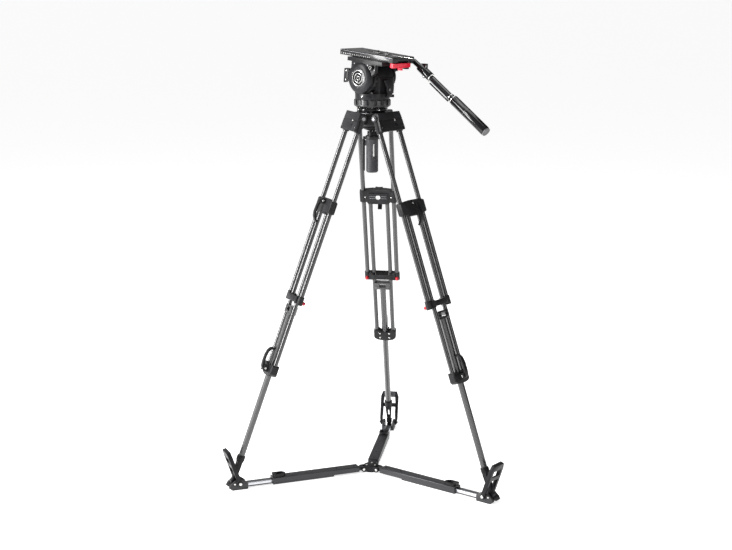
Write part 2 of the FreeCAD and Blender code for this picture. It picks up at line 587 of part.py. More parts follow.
lever = prism([(110, -38, 48), (124, -38, 48), (127, -34, 48), (127, 46, 48), (112, 52, 48), (99, 52, 48), (99, 34, 48),
               (110, 28, 48)], (0, 0, 14.5))
lever = soften(lever, 3.0, along((0, 0, 1)))
lever = fuse(lever, cyl(4.0, (106, 46, 40.5), (0, 0, 1), 8), cyl(9, (117, 6, 39), (0, 0, 1), 10))
add("plate_release_lever", lever, C)


# ---------------------------------------------------------------- pan bar
def arm_point(u, z):
    return V(u, BAR_V, z)


slope = math.radians(BAR_SLOPE)
ahead = V(math.cos(slope), 0, -math.sin(slope))
bar_zero = V(142, BAR_V, 1428.2)


def station(distance):
    return bar_zero + ahead * distance


def pipe(radius, start, end):
    return Part.makeCylinder(radius, end - start, station(start), ahead)


neck_parts = [Part.makeCylinder(16, 9, V(34, 72.2, 1424), V(0, 1, 0))]
corners = [V(34, 82, 1424), V(62, 82, 1438), V(92, 81.5, 1448), V(116, BAR_V, 1445), V(146, BAR_V, 1426.4)]
for a, b in zip(corners, corners[1:]):
    neck_parts.append(Part.makeCylinder(NECK_R, (b - a).Length, a, b - a))
    neck_parts.append(Part.makeSphere(NECK_R, b))
sleeve = pipe(SLEEVE_R, 0, 62)
eye = Part.makeCylinder(7.0, 8, V(162, BAR_V - 4, 1399), V(0, 1, 0))
eye = eye.fuse(box(156, 168, BAR_V - 4, BAR_V + 4, 1399, 1414))
wing = box(154, 174, BAR_V - 3, BAR_V + 3, 1426, 1440)
arm = fuse(sleeve, eye, wing, *neck_parts)
arm = arm.cut(Part.makeCylinder(3.2, 20, V(162, BAR_V - 10, 1399), V(0, 1, 0)))
arm = arm.cut(pipe(ROD_R + RUN, 14, 70))
pivot = Part.makeCylinder(5.0, 12, V(34, 64.0, 1424), V(0, 1, 0))
add("pan_bar_arm", fuse(arm, pivot), H)

rod = pipe(ROD_R, 16, 176)
collars = pipe(ROD_R + 2.0, 164, 178)
hand = turned([(0, 0), (GRIP_BAR_R - 2, 0), (GRIP_BAR_R, 4), (GRIP_BAR_R, 164), (GRIP_BAR_R - 2, 170), (0, 170)],
              tuple(station(178)), tuple(ahead))
side_rod = Part.makeCylinder(2.6, 96, station(66) + V(-10, 0, -15), ahead)
side_post = Part.makeCylinder(3.0, 18, station(156) + V(-10, 0, -15), V(10, 0, 15))
add("pan_bar_tube", fuse(rod, collars, hand, side_rod, side_post), H)

os.makedirs("parts", exist_ok=True)
for name, shape in NODES.items():
    shape.exportStep("parts/" + name + ".step")
print(len(NODES), "nodes")
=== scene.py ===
import json
import math
import bmesh
import bpy
from mathutils import Matrix, Vector


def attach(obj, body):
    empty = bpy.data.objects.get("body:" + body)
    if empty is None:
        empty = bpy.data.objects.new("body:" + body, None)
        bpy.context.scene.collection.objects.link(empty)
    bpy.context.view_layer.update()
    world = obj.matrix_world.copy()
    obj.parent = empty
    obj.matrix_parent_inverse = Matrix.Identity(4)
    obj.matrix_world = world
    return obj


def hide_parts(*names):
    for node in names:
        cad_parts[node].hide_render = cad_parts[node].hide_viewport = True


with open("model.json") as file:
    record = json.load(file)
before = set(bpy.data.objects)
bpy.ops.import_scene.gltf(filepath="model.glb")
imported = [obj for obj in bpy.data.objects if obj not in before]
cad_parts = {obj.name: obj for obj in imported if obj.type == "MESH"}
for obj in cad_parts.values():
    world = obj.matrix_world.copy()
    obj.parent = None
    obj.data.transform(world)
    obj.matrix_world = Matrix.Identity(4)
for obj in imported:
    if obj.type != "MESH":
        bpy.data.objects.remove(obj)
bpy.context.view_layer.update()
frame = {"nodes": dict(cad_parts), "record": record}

# ------------------------------------------------------------------ spreader hub
# The hub is a small black die casting that lies on the floor under the bowl.
# Three forked ears take the arms, and bright countersunk screws hold its lid.

MM = 0.001
LEGS = {"rear": 90.0, "left": 210.0, "right": 330.0}


class Signal:
    """One shader socket; arithmetic on it adds Math nodes."""

    def __init__(self, tree, socket):
        self.tree = tree
        self.socket = socket

    def math(self, operation, *others):
        node = self.tree.nodes.new("ShaderNodeMath")
        node.operation = operation
        for slot, value in zip(node.inputs, (self,) + others):
            if isinstance(value, Signal):
                self.tree.links.new(value.socket, slot)
            else:
                slot.default_value = value
        return Signal(self.tree, node.outputs[0])

    def __add__(self, other):
        return self.math("ADD", other)

    def __sub__(self, other):
        return self.math("SUBTRACT", other)

    def __rsub__(self, other):
        return (self * -1.0).math("ADD", other)

    def __mul__(self, other):
        return self.math("MULTIPLY", other)

    def __truediv__(self, other):
        return self.math("DIVIDE", other)

    def __lt__(self, other):
        return self.math("LESS_THAN", other)

    __radd__ = __add__
    __rmul__ = __mul__


class Finish:
    """A node material; its place is the piece's own position in metres."""

    def __init__(self, name, **fixed):
        self.material = bpy.data.materials.new(name)
        self.material.use_nodes = True
        self.tree = self.material.node_tree
        self.shader = self.tree.nodes["Principled BSDF"]
        self.place = self.node("ShaderNodeTexCoord", out="Object")
        for socket, value in fixed.items():
            self.shader.inputs[socket.replace("_", " ").title().replace("Ior", "IOR")].default_value = value

    def node(self, kind, settings=None, values=None, out=0):
        node = self.tree.nodes.new(kind)
        for name, value in (settings or {}).items():
            setattr(node, name, value)
        for name, value in (values or {}).items():
            if isinstance(value, Signal):
                self.tree.links.new(value.socket, node.inputs[name])
            else:
                node.inputs[name].default_value = value
        return Signal(self.tree, node.outputs[out])

    def axes(self, place=None):
        vector = place or self.place
        return [self.node("ShaderNodeSeparateXYZ", None, {0: vector}, k) for k in range(3)]

    def noise(self, size, detail=3.0, roughness=0.55, place=None):
        values = {"Vector": place or self.place, "Scale": 1.0 / size, "Detail": detail,
                  "Roughness": roughness}
        return self.node("ShaderNodeTexNoise", None, values)

    def ramp(self, value, low, high, start=0.0, end=1.0):
        values = {"Value": value, "From Min": low, "From Max": high, "To Min": start, "To Max": end}
        return self.node("ShaderNodeMapRange", {"clamp": True}, values)

    def blend(self, factor, first, second):
        values = {0: factor, 6: (*first, 1.0) if isinstance(first, tuple) else first}
        values[7] = (*second, 1.0) if isinstance(second, tuple) else second
        return self.node("ShaderNodeMix", {"data_type": "RGBA"}, values, out=2)

    def local(self, matrix):
        """The place in a turned frame, so that a pattern follows the piece."""
        inverse = matrix.inverted()
        turn = inverse.to_euler()
        values = {"Vector": self.place, "Location": inverse.translation, "Rotation": turn}
        return self.node("ShaderNodeMapping", None, values)

    def feed(self, **sockets):
        for name, value in sockets.items():
            slot = self.shader.inputs[name.replace("_", " ").title().replace("Ior", "IOR")]
            if isinstance(value, Signal):
                self.tree.links.new(value.socket, slot)
            else:
                slot.default_value = value

    def bump(self, height, distance, strength=1.0):
        values = {"Height": height, "Distance": distance, "Strength": strength}
        self.feed(normal=self.node("ShaderNodeBump", None, values))


def cast_finish(name, dark, light, rough, grain=0.0007, depth=0.00006):
    """Fine powder coat: grain, soft cloudiness and rubbed patches."""
    paint = Finish(name, specular_ior_level=0.17)
    cloud = paint.noise(0.035, 4.0)
    speck = paint.noise(grain, 2.0)
    rub = paint.ramp(paint.noise(0.011, 6.0, 0.7), 0.62, 0.78)
    colour = paint.blend(paint.ramp(cloud, 0.3, 0.7), dark, light)
    worn = tuple(min(1.0, 2.0 * c + 0.02) for c in light)
    colour = paint.blend(rub * 0.45, colour, worn)
    paint.feed(base_color=colour, roughness=rough + (cloud - 0.5) * 0.22 - rub * 0.08 + (speck - 0.5) * 0.1)
    paint.bump(speck, depth, 0.55)
    return paint.material


def steel_finish(name, tint, rough=0.24):
    """Turned bright steel: fine rings of tool marks and a few dull spots."""
    steel = Finish(name, metallic=1.0)
    lines = steel.noise(0.00035, 2.0)
    stain = steel.ramp(steel.noise(0.004, 4.0), 0.55, 0.75)
    dull = tuple(0.55 * c for c in tint)
    steel.feed(base_color=steel.blend(stain * 0.5, tint, dull), roughness=rough + stain * 0.18 + lines * 0.08)
    steel.bump(lines, 0.00001, 0.4)
    return steel.material


BODY_OF = {}
for body_name, node_names in frame["record"]["behaviour"]["bodies"].items():
    for node_name in node_names:
        BODY_OF[node_name] = body_name


def deselect():
    if bpy.context.object is not None and bpy.context.object.mode == "EDIT":
        bpy.ops.object.mode_set(mode="OBJECT")
    bpy.ops.object.select_all(action="DESELECT")


def activate(piece):
    deselect()
    piece.select_set(True)
    bpy.context.view_layer.objects.active = piece


def refine(node, material, width, name=None, segments=2, dissolve=2.0):
    """A softened copy of a CAD node: its sharp edges get the small radius of the real moulding."""
    source = frame["nodes"][node]
    piece = bpy.data.objects.new(name or node + "_skin", source.data.copy())
    bpy.context.scene.collection.objects.link(piece)
    activate(piece)
    bpy.ops.object.mode_set(mode="EDIT")
    bpy.ops.mesh.select_all(action="SELECT")
    bpy.ops.mesh.remove_doubles(threshold=0.000004)
    bpy.ops.mesh.dissolve_limited(angle_limit=math.radians(dissolve))
    bpy.ops.object.mode_set(mode="OBJECT")
    if width:
        bevel = piece.modifiers.new("edges", "BEVEL")
        bevel.width = width * MM
        bevel.segments = segments
        bevel.angle_limit = math.radians(38)
        bevel.use_clamp_overlap = True
        bpy.ops.object.modifier_apply(modifier=bevel.name)
    bpy.ops.object.shade_smooth_by_angle(angle=math.radians(32))
    piece.data.materials.clear()
    piece.data.materials.append(material)
    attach(piece, BODY_OF[node])
    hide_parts(node)
    return piece


def begin(name, primitive, **where):
    deselect()
    primitive(**where)
    piece = bpy.context.object
    piece.name = name
    bpy.ops.object.mode_set(mode="EDIT")
    bpy.ops.mesh.select_mode(type="FACE")
    bpy.ops.mesh.select_all(action="DESELECT")
    return piece


def pick(piece, test):
    """Selects the faces whose middle and normal pass the test, in millimetres."""
    bpy.ops.mesh.select_all(action="DESELECT")
    mesh = bmesh.from_edit_mesh(piece.data)
    for face in mesh.faces:
        if test(face.calc_center_median() / MM, face.normal):
            face.select_set(True)
    mesh.select_flush_mode()
    bmesh.update_edit_mesh(piece.data)


def finish_piece(piece, material, body, matrix=None, edge=0.0, segments=2, angle=32.0):
    """Back to object mode, edges softened, placed in the row frame and set to ride its body."""
    bpy.ops.object.mode_set(mode="OBJECT")
    activate(piece)
    bpy.ops.object.transform_apply(location=True, rotation=True, scale=True)
    if edge:
        bevel = piece.modifiers.new("edges", "BEVEL")
        bevel.width = edge * MM
        bevel.segments = segments
        bevel.angle_limit = math.radians(35)
        bpy.ops.object.modifier_apply(modifier=bevel.name)
    if matrix is not None:
        piece.data.transform(matrix)
    bpy.ops.object.shade_smooth_by_angle(angle=math.radians(angle))
    piece.data.materials.clear()
    piece.data.materials.append(material)
    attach(piece, body)
    return piece


def aim(at, direction):
    """Frame whose Z runs along the direction from a point in millimetres."""
    turn = Vector(direction).to_track_quat("Z", "Y").to_matrix().to_4x4()
    return Matrix.Translation(Vector(at) * MM) @ turn


def screw(name, radius, height, material, body, matrix, sides=6):
    """Low cap screw with a chamfered head and a socket drive; its seat is at Z = 0."""
    head = begin(name, bpy.ops.mesh.primitive_cylinder_add, vertices=36, radius=radius * MM,
                 depth=height * MM, location=(0, 0, height * MM / 2))
    pick(head, lambda c, n: n.z > 0.9)
    bpy.ops.mesh.inset(thickness=radius * 0.16 * MM)
    bpy.ops.transform.translate(value=(0, 0, radius * 0.12 * MM))
    bpy.ops.mesh.inset(thickness=radius * 0.30 * MM)
    bpy.ops.mesh.extrude_region_move(TRANSFORM_OT_translate={"value": (0, 0, -height * 0.55 * MM)})
    return finish_piece(head, material, body, matrix, edge=0.12, segments=1)


def arm_matrix(angle):
    return Matrix.Rotation(math.radians(angle), 4, "Z")


hub_black = cast_finish("hub_black", (0.010, 0.010, 0.011), (0.020, 0.020, 0.022), 0.42)
bright_steel = steel_finish("bright_steel", (0.78, 0.78, 0.76))
refine("spreader_hub", hub_black, 0.7)
for leg, angle in LEGS.items():
    m = arm_matrix(angle)
    screw("hub_screw_" + leg, 3.4, 1.8, bright_steel, "hub", m @ aim((17, 0, 21.8), (0, 0, 1)))
    for side in (-1.0, 1.0):
        ends = aim((34, side * 15.3, 12), (0, side, 0))
        screw("arm_pin_%s_%s" % (leg, "ab"[side > 0]), 4.6, 1.6, bright_steel, "hub", m @ ends)

# ------------------------------------------------------------------ spreader arms
# Each arm is a dark grey anodised channel that telescopes on a drawn alloy bar.
# An oval cam lever on its end locks the bar, and a lidded rail runs under it.

def spreader_finish(name, angle):
    """Anodised channel with drawing lines along it and light scuffs on top."""
    metal = Finish(name, metallic=0.35)
    place = metal.local(arm_matrix(angle))
    lines = metal.node("ShaderNodeMapping", None, {"Vector": place, "Scale": (0.02, 1.0, 1.0)})
    drawn = metal.noise(0.0006, 3.0, 0.5, lines)
    long, across, up = metal.axes(place)
    scuff = metal.ramp(metal.noise(0.009, 6.0, 0.75, place), 0.60, 0.74)
    top = metal.ramp(up, 0.024, 0.0255)
    colour = metal.blend(metal.ramp(drawn, 0.25, 0.75), (0.026, 0.026, 0.029), (0.045, 0.045, 0.049))
    colour = metal.blend(scuff * (0.15 + top * 0.35), colour, (0.20, 0.20, 0.21))
    metal.feed(base_color=colour, roughness=0.38 + (drawn - 0.5) * 0.15 + scuff * 0.12)
    metal.bump(drawn, 0.00002, 0.5)
    return metal.material


def bar_finish(name, angle):
    """Bright bar with dark anodised lower edge and slide marks along it; the shoe end is black."""
    metal = Finish(name)
    place = metal.local(arm_matrix(angle))
    long, across, up = metal.axes(place)
    drawn_out = metal.node("ShaderNodeMapping", None, {"Vector": place, "Scale": (0.015, 1, 1)})
    streak = metal.noise(0.0008, 3.0, 0.5, drawn_out)
    groove = (across.math("ABSOLUTE") < 0.0035) * metal.ramp(up, 0.0172, 0.0176)
    black = metal.ramp(up, 0.0085, 0.0078).math("MAXIMUM", metal.ramp(long, 0.4625, 0.4635))
    black = black.math("MAXIMUM", groove)
    bright = metal.blend(streak, (0.50, 0.51, 0.54), (0.72, 0.73, 0.76))
    metal.feed(base_color=metal.blend(black, bright, (0.02, 0.02, 0.022)), metallic=1.0 - black,
               roughness=0.28 + black * 0.2 + (streak - 0.5) * 0.15)
    metal.bump(streak + groove * -2.0, 0.00003, 0.5)
    return metal.material


nylon = cast_finish("black_nylon", (0.008, 0.008, 0.009), (0.016, 0.016, 0.018), 0.36, 0.0005, 0.00004)
for leg, angle in LEGS.items():
    m = arm_matrix(angle)
    refine("spreader_arm_" + leg, spreader_finish("arm_grey_" + leg, angle), 0.8)
    refine("spreader_bar_" + leg, bar_finish("bar_alloy_" + leg, angle), 0.7)
    refine("arm_lever_" + leg, nylon, 1.6, segments=3)
    body = "arm_lever_" + leg
    for side in (-1.0, 1.0):
        screw("lock_pin_%s_%s" % (leg, "ab"[side > 0]), 2.6, 1.0, bright_steel, body,
              m @ aim((364, side * 9.6, 30.6), (0, side, 0)))
    screw("lock_screw_" + leg, 3.6, 1.6, bright_steel, "outer_arm_" + leg, m @ aim((333, 0, 25), (0, 0, 1)))
    for k, x in enumerate((66.0, 132.0)):
        screw("arm_rivet_%s_%d" % (leg, k), 2.4, 0.8, hub_black, "outer_arm_" + leg,
              m @ aim((x, 0, 25), (0, 0, 1)))

# ------------------------------------------------------------------ foot pedals
# A moulded glass-filled nylon frame is hinged on each shoe on two bright screws.
# Its top bar is ribbed for the boot, and two windows lighten it.

def pedal_matrix(angle):
    lean = Matrix.Rotation(math.radians(19.0), 4, "Y")
    return arm_matrix(angle) @ Matrix.Translation(Vector((495, 0, 24)) * MM) @ lean


def tread(name, matrix, body):
    """Three rubber grip bars let into the pedal's head, each with a flat worn crown."""
    bars = begin(name, bpy.ops.mesh.primitive_cube_add, size=1.0, location=(-8.2 * MM, 0, 104 * MM),
                 scale=(0.8 * MM, 44 * MM, 2.2 * MM))
    pick(bars, lambda c, n: n.x < -0.9)
    bpy.ops.mesh.inset(thickness=0.5 * MM)
    bpy.ops.transform.translate(value=(-0.3 * MM, 0, 0))
    bpy.ops.mesh.select_all(action="SELECT")
    for _ in range(2):
        bpy.ops.mesh.duplicate_move(TRANSFORM_OT_translate={"value": (0, 0, 5 * MM)})
    return finish_piece(bars, tread_grey.material, body, matrix)


tread_grey = Finish("tread_grey", specular_ior_level=0.4)
scuffed = tread_grey.noise(0.003, 5.0, 0.7)
worn_tread = tread_grey.ramp(scuffed, 0.35, 0.7)
tread_grey.feed(base_color=tread_grey.blend(worn_tread, (0.03, 0.03, 0.032), (0.22, 0.22, 0.23)),
                roughness=0.5 + (scuffed - 0.5) * 0.3)
tread_grey.bump(scuffed, 0.00006, 0.5)
for leg, angle in LEGS.items():
    body = "pedal_" + leg
    m = pedal_matrix(angle)
    refine("pedal_" + leg, nylon, 2.0, segments=3)
    tread("pedal_tread_" + leg, m, body)
    for side in (-1.0, 1.0):
        screw("pedal_screw_%s_%s" % (leg, "ab"[side > 0]), 5.2, 2.2, bright_steel, body,
              m @ aim((0, side * 34.0, 0), (0, side, 0)))
        screw("shoe_screw_%s_%s" % (leg, "ab"[side > 0]), 3.2, 1.4, bright_steel, "inner_bar_" + leg,
              arm_matrix(angle) @ aim((512, side * 23.0, 22), (0, side, 0)))

# ------------------------------------------------------------------ carbon tubes
# The leg tubes are wound from twill-woven carbon fibre under a clear coat.
# The weave runs round each tube, so every leg has its pattern turned along it.

HINGE = (58.2, 1258.0)
SPLAY = math.atan2(512.0 - HINGE[0], HINGE[1] - 27.0)


def leg_matrix(angle):
    a = math.radians(angle)
    across = Vector((-math.sin(a), math.cos(a), 0))
    outward = Vector((math.cos(SPLAY) * math.cos(a), math.cos(SPLAY) * math.sin(a), math.sin(SPLAY)))
    down = Vector((math.sin(SPLAY) * math.cos(a), math.sin(SPLAY) * math.sin(a), -math.cos(SPLAY)))
    m = Matrix((across, outward, down)).transposed().to_4x4()
    m.translation = Vector((HINGE[0] * math.cos(a), HINGE[0] * math.sin(a), HINGE[1])) * MM
    return m


def carbon_finish(name, matrix, spacing, radius, cell=2.6):
    """2/2 twill, where the threads cross two and duck two, under a glossy coat. The threads on top get a
    lighter black as painted sheen, and their edges are darkened as painted shade.
    """
    carbon = Finish(name, coat_weight=1.0, coat_roughness=0.16)
    place = carbon.local(matrix)
    across, out, down = carbon.axes(place)
    side = across.math("ABSOLUTE") - spacing * MM
    round_it = out.math("ARCTAN2", side if spacing else across) * (radius / cell)
    along = down / (cell * MM)
    column = round_it.math("FLOOR")
    row = along.math("FLOOR")
    over = ((column + row) / 4.0).math("FRACT") < 0.49
    across_thread = (round_it.math("FRACT") - 0.5).math("ABSOLUTE")
    along_thread = (along.math("FRACT") - 0.5).math("ABSOLUTE")
    crown = over * (0.5 - across_thread) + (1.0 - over) * (0.5 - along_thread)
    fibre = carbon.noise(0.00025, 2.0, 0.5, place)
    haze = carbon.noise(0.02, 3.0, 0.6, place)
    # Painted sheen: the threads on top get a lighter black than the threads beneath them.
    thread_sheen_and_shade = carbon.blend(over, (0.007, 0.007, 0.008), (0.038, 0.038, 0.041))
    # Painted shade: the threads are darkened towards their edges, where they round down.
    thread_sheen_and_shade = carbon.blend(carbon.ramp(crown, 0.0, 0.28, 0.75, 0.0), thread_sheen_and_shade, (0.004, 0.004, 0.005))
    carbon.feed(base_color=carbon.blend(haze * 0.3, thread_sheen_and_shade, (0.022, 0.022, 0.024)),
                roughness=0.30 + over * 0.14 + (fibre - 0.5) * 0.2)
    carbon.bump(crown, 0.00012, 0.35)
    return carbon.material


def tube_skin(node, material):
    """The straight tubes keep their CAD shape and get smooth shading and their own weave."""
    source = frame["nodes"][node]
    activate(source)
    bpy.ops.object.shade_smooth_by_angle(angle=math.radians(40))
    source.data.materials.clear()
    source.data.materials.append(material)


for leg, angle in LEGS.items():
    m = leg_matrix(angle)
    tube_skin("upper_tubes_" + leg, carbon_finish("carbon_upper_" + leg, m, 54.0, 8.0))
    tube_skin("middle_tubes_" + leg, carbon_finish("carbon_middle_" + leg, m, 30.0, 7.5))
    refine("lower_tube_" + leg, carbon_finish("carbon_lower_" + leg, m, 0.0, 11.0, 3.0), 0.5)

# ------------------------------------------------------------------ leg castings
# Yokes, clamps and end fittings are magnesium die castings, powder coated black.
# They are glued to the tubes; cap screws close the clamps, and red stops cushion them.

leg_black = cast_finish("leg_black", (0.012, 0.012, 0.013), (0.024, 0.024, 0.026), 0.38)
CLAMP = 315.0
LOWER_CLAMP = 905.0
FITTING = 646.0
dark_steel = steel_finish("dark_steel", (0.20, 0.20, 0.21), 0.34)
red_rubber = Finish("red_rubber", specular_ior_level=0.4)
speck = red_rubber.noise(0.002, 3.0)
red_rubber.feed(base_color=red_rubber.blend(speck, (0.40, 0.012, 0.02), (0.62, 0.03, 0.045)),
                roughness=0.42 + (speck - 0.5) * 0.2)
red_rubber.bump(speck, 0.00005, 0.5)
white_ink = Finish("pale_enamel")
fleck = white_ink.noise(0.0012, 3.0)
white_ink.feed(base_color=white_ink.blend(fleck, (0.62, 0.62, 0.60), (0.80, 0.80, 0.78)),
               roughness=0.35 + fleck * 0.15)


def ring_bolt(name, radius, material, body, matrix):
    """Dished ring with a raised middle, made from one disc by insets."""
    ring = begin(name, bpy.ops.mesh.primitive_cylinder_add, vertices=48, radius=radius * MM, depth=1.2 * MM,
                 location=(0, 0, 0.6 * MM))
    pick(ring, lambda c, n: n.z > 0.9)
    bpy.ops.mesh.inset(thickness=radius * 0.30 * MM)
    bpy.ops.mesh.extrude_region_move(TRANSFORM_OT_translate={"value": (0, 0, -0.7 * MM)})
    bpy.ops.mesh.inset(thickness=radius * 0.18 * MM)
    bpy.ops.mesh.extrude_region_move(TRANSFORM_OT_translate={"value": (0, 0, 0.5 * MM)})
    return finish_piece(ring, material, body, matrix, edge=0.12, segments=1)


def strip(name, size, at, material, body, matrix, edge=0.4):
    """A small raised moulding with a stepped top, made from a cube by an inset."""
    bar = begin(name, bpy.ops.mesh.primitive_cube_add, size=1.0, location=Vector(at) * MM,
                scale=Vector(size) * MM)
    pick(bar, lambda c, n: n.z > 0.9)
    bpy.ops.mesh.inset(thickness=min(size[0], size[1]) * 0.14 * MM)
    bpy.ops.transform.translate(value=(0, 0, min(size) * 0.12 * MM))
    return finish_piece(bar, material, body, matrix, edge=edge)


def bumper(name, matrix, body):
    """Soft red stop: a short plug whose end is rounded over."""
    plug = begin(name, bpy.ops.mesh.primitive_cylinder_add, vertices=32, radius=5.6 * MM, depth=9 * MM,
                 location=(0, 0, 4.5 * MM))
    pick(plug, lambda c, n: n.z > 0.9)
    bpy.ops.mesh.inset(thickness=1.6 * MM)
    bpy.ops.transform.translate(value=(0, 0, 2.2 * MM))
    bpy.ops.mesh.inset(thickness=1.8 * MM)
    bpy.ops.transform.translate(value=(0, 0, 0.8 * MM))
    return finish_piece(plug, red_rubber.material, body, matrix, edge=0.5)


for leg, angle in LEGS.items():
    m = leg_matrix(angle)
    upper = "upper_leg_" + leg
    middle = "middle_leg_" + leg
    refine("shoulder_" + leg, leg_black, 1.3, segments=3)
    refine("end_fitting_" + leg, leg_black, 0.8)
    refine("slider_clamp_" + leg, leg_black, 1.4, segments=3)
    refine("lower_clamp_" + leg, leg_black, 1.2, segments=3)
    refine("upper_lever_" + leg, nylon, 1.6, segments=3)
    refine("lower_lever_" + leg, nylon, 1.6, segments=3)
    refine("foot_casting_" + leg, nylon, 0.8)
    for side in (-1.0, 1.0):
        mark = "%s_%s" % (leg, "ab"[side > 0])
        screw("pivot_cap_" + mark, 6.6, 1.8, dark_steel, upper, m @ aim((side * 68.0, 0, 0), (side, 0, 0)))
        bumper("bumper_" + mark, m @ aim((side * 54, -8.0, FITTING + 4), (side * 0.25, -1, 0.3)), upper)
        screw("upper_pin_" + mark, 3.6, 1.2, bright_steel, middle,
              m @ aim((side * 12.8, 22, CLAMP - 13), (side, 0, 0)))
        screw("lower_pin_" + mark, 3.6, 1.2, bright_steel, middle,
              m @ aim((side * 12.8, 24, LOWER_CLAMP - 1), (side, 0, 0)))
        for k, s in enumerate((LOWER_CLAMP - 9, LOWER_CLAMP + 9)):
            screw("clamp_screw_%s_%d" % (mark, k), 3.0, 1.4, bright_steel, middle,
                  m @ aim((side * 17.5, -12.9, s), (0, -1, 0)))
        for word, s in (("line", CLAMP - 5), ("rule", CLAMP + 3)):
            strip("panel_%s_%s" % (word, mark), (20, 2.0, 0.9), (0, 0, 0), dark_steel, middle,
                  m @ aim((side * 20, -15.2, s), (0, -1, 0)), 0.2)
        screw("panel_screw_" + mark, 2.4, 0.9, bright_steel, middle,
              m @ aim((side * 46, -11.4, CLAMP), (0, -1, 0)))
        screw("rivet_" + mark, 2.6, 0.9, dark_steel, upper, m @ aim((side * 58, 17.0, 36), (0, 1, 0)))
    ring_bolt("ring_bolt_" + leg, 8.0, white_ink.material, middle, m @ aim((0, -15.0, CLAMP - 1), (0, -1, 0)))
    screw("shoulder_plug_" + leg, 8.6, 1.8, nylon, upper, m @ aim((24, 14.6, 31), (0, 1, 0)))
    screw("shoulder_bolt_" + leg, 3.4, 1.2, bright_steel, upper, m @ aim((20, 17.0, 14), (0, 1, 0)))

# ------------------------------------------------------------------ crown and bowl
# The crown is one heavy black casting with a machined bowl for the half ball.
# The legs swing on steel pins through its lugs; the half ball and stem are turned alloy.

crown_black = cast_finish("crown_black", (0.009, 0.009, 0.010), (0.018, 0.018, 0.020), 0.34)
refine("crown", crown_black, 1.0)
refine("clamp_cup", crown_black, 0.6)
refine("half_ball", dark_steel, 0.0)
refine("crown_pins", bright_steel, 0.4)

# ------------------------------------------------------------------ tie-down handle
# A soft-touch grey grip screwed on the stem of the half ball clamps it in the bowl.
# A slim black lever lies along it, and a pale stripe is printed down its side.

handle_grey = Finish("handle_grey", specular_ior_level=0.35)
low_noise = handle_grey.noise(0.018, 4.0)
skin = handle_grey.noise(0.0006, 2.0)
hx, hy, hz = handle_grey.axes()
collar = handle_grey.ramp(hz, 1.1805, 1.1812).math("MAXIMUM", handle_grey.ramp(hx, -0.0235, -0.0245))
grey = handle_grey.blend(handle_grey.ramp(low_noise, 0.3, 0.7), (0.030, 0.030, 0.033), (0.048, 0.048, 0.052))
handle_grey.feed(base_color=handle_grey.blend(collar, grey, (0.009, 0.009, 0.010)),
                 roughness=0.55 - collar * 0.15 + (skin - 0.5) * 0.15)
handle_grey.bump(skin, 0.00005, 0.5)
refine("tie_down_handle", handle_grey.material, 0.9)
stripe_turn = Matrix.Rotation(math.radians(-68.0), 4, "Z")
strip("handle_stripe", (42, 4.2, 0.8), (0, 0, 0), white_ink.material, "tie_down",
      stripe_turn @ Matrix.Translation(Vector((20.4, 0, 1146)) * MM)
      @ Matrix.Rotation(math.radians(90), 4, "Y"), 0.2)

# ------------------------------------------------------------------ pan base and rings
# The glossy black neck is bolted on the half ball; the castellated pan drag ring turns on it.
# The ring is moulded nylon with a turned alloy lower lip, and a short tail lever brakes the pan.

HEAD = Matrix.Rotation(math.radians(-35.5), 4, "Z")


def gloss_finish(name, dark, light, rough):
    """Black lacquer: faint polishing swirls, small dust nibs and rubbed, duller patches."""
    lacquer = Finish(name, coat_weight=0.22, coat_roughness=0.05, specular_ior_level=0.2)
    swirl = lacquer.noise(0.004, 6.0, 0.7)
    nib = lacquer.ramp(lacquer.noise(0.0012, 2.0), 0.70, 0.78)
    patch = lacquer.ramp(lacquer.noise(0.02, 4.0), 0.5, 0.75)
    colour = lacquer.blend(swirl, dark, light)
    lacquer.feed(base_color=lacquer.blend(nib * 0.12, colour, (0.08, 0.08, 0.08)),
                 roughness=rough + patch * 0.07 + (swirl - 0.5) * 0.05)
    lacquer.bump(swirl + nib, 0.00002, 0.3)
    return lacquer.material


gloss_black = gloss_finish("gloss_black", (0.004, 0.004, 0.005), (0.012, 0.012, 0.013), 0.14)
drag_finish = Finish("drag_ring_finish")
grain = drag_finish.noise(0.0006, 3.0)
smear = drag_finish.noise(0.012, 5.0, 0.65)
lip = drag_finish.ramp(drag_finish.axes()[2], 1.2948, 1.2943)
tone = drag_finish.blend(drag_finish.ramp(smear, 0.3, 0.7), (0.014, 0.014, 0.015), (0.034, 0.034, 0.036))
drag_finish.feed(base_color=drag_finish.blend(lip, tone, (0.62, 0.62, 0.61)), metallic=lip,
                 roughness=0.34 - lip * 0.08 + (grain - 0.5) * 0.16)
drag_finish.bump(grain, 0.00003, 0.5)
refine("pan_base", gloss_black, 0.8)
refine("pan_drag_ring", drag_finish.material, 0.7)
refine("pan_brake_lever", nylon, 1.0)
for k in range(4):
    around = HEAD @ Matrix.Rotation(math.radians(90.0 * k - 20.0), 4, "Z")
    screw("neck_screw_%d" % k, 2.8, 1.2, bright_steel, "half_ball", around @ aim((51.6, 0, 1284), (1, 0, 0)))

# ------------------------------------------------------------------ head housing
# The pan housing is a satin black casting with the tilt drum across its top.
# Its split brake band is pulled tight by one bolt, and a crescent lever locks the tilt.

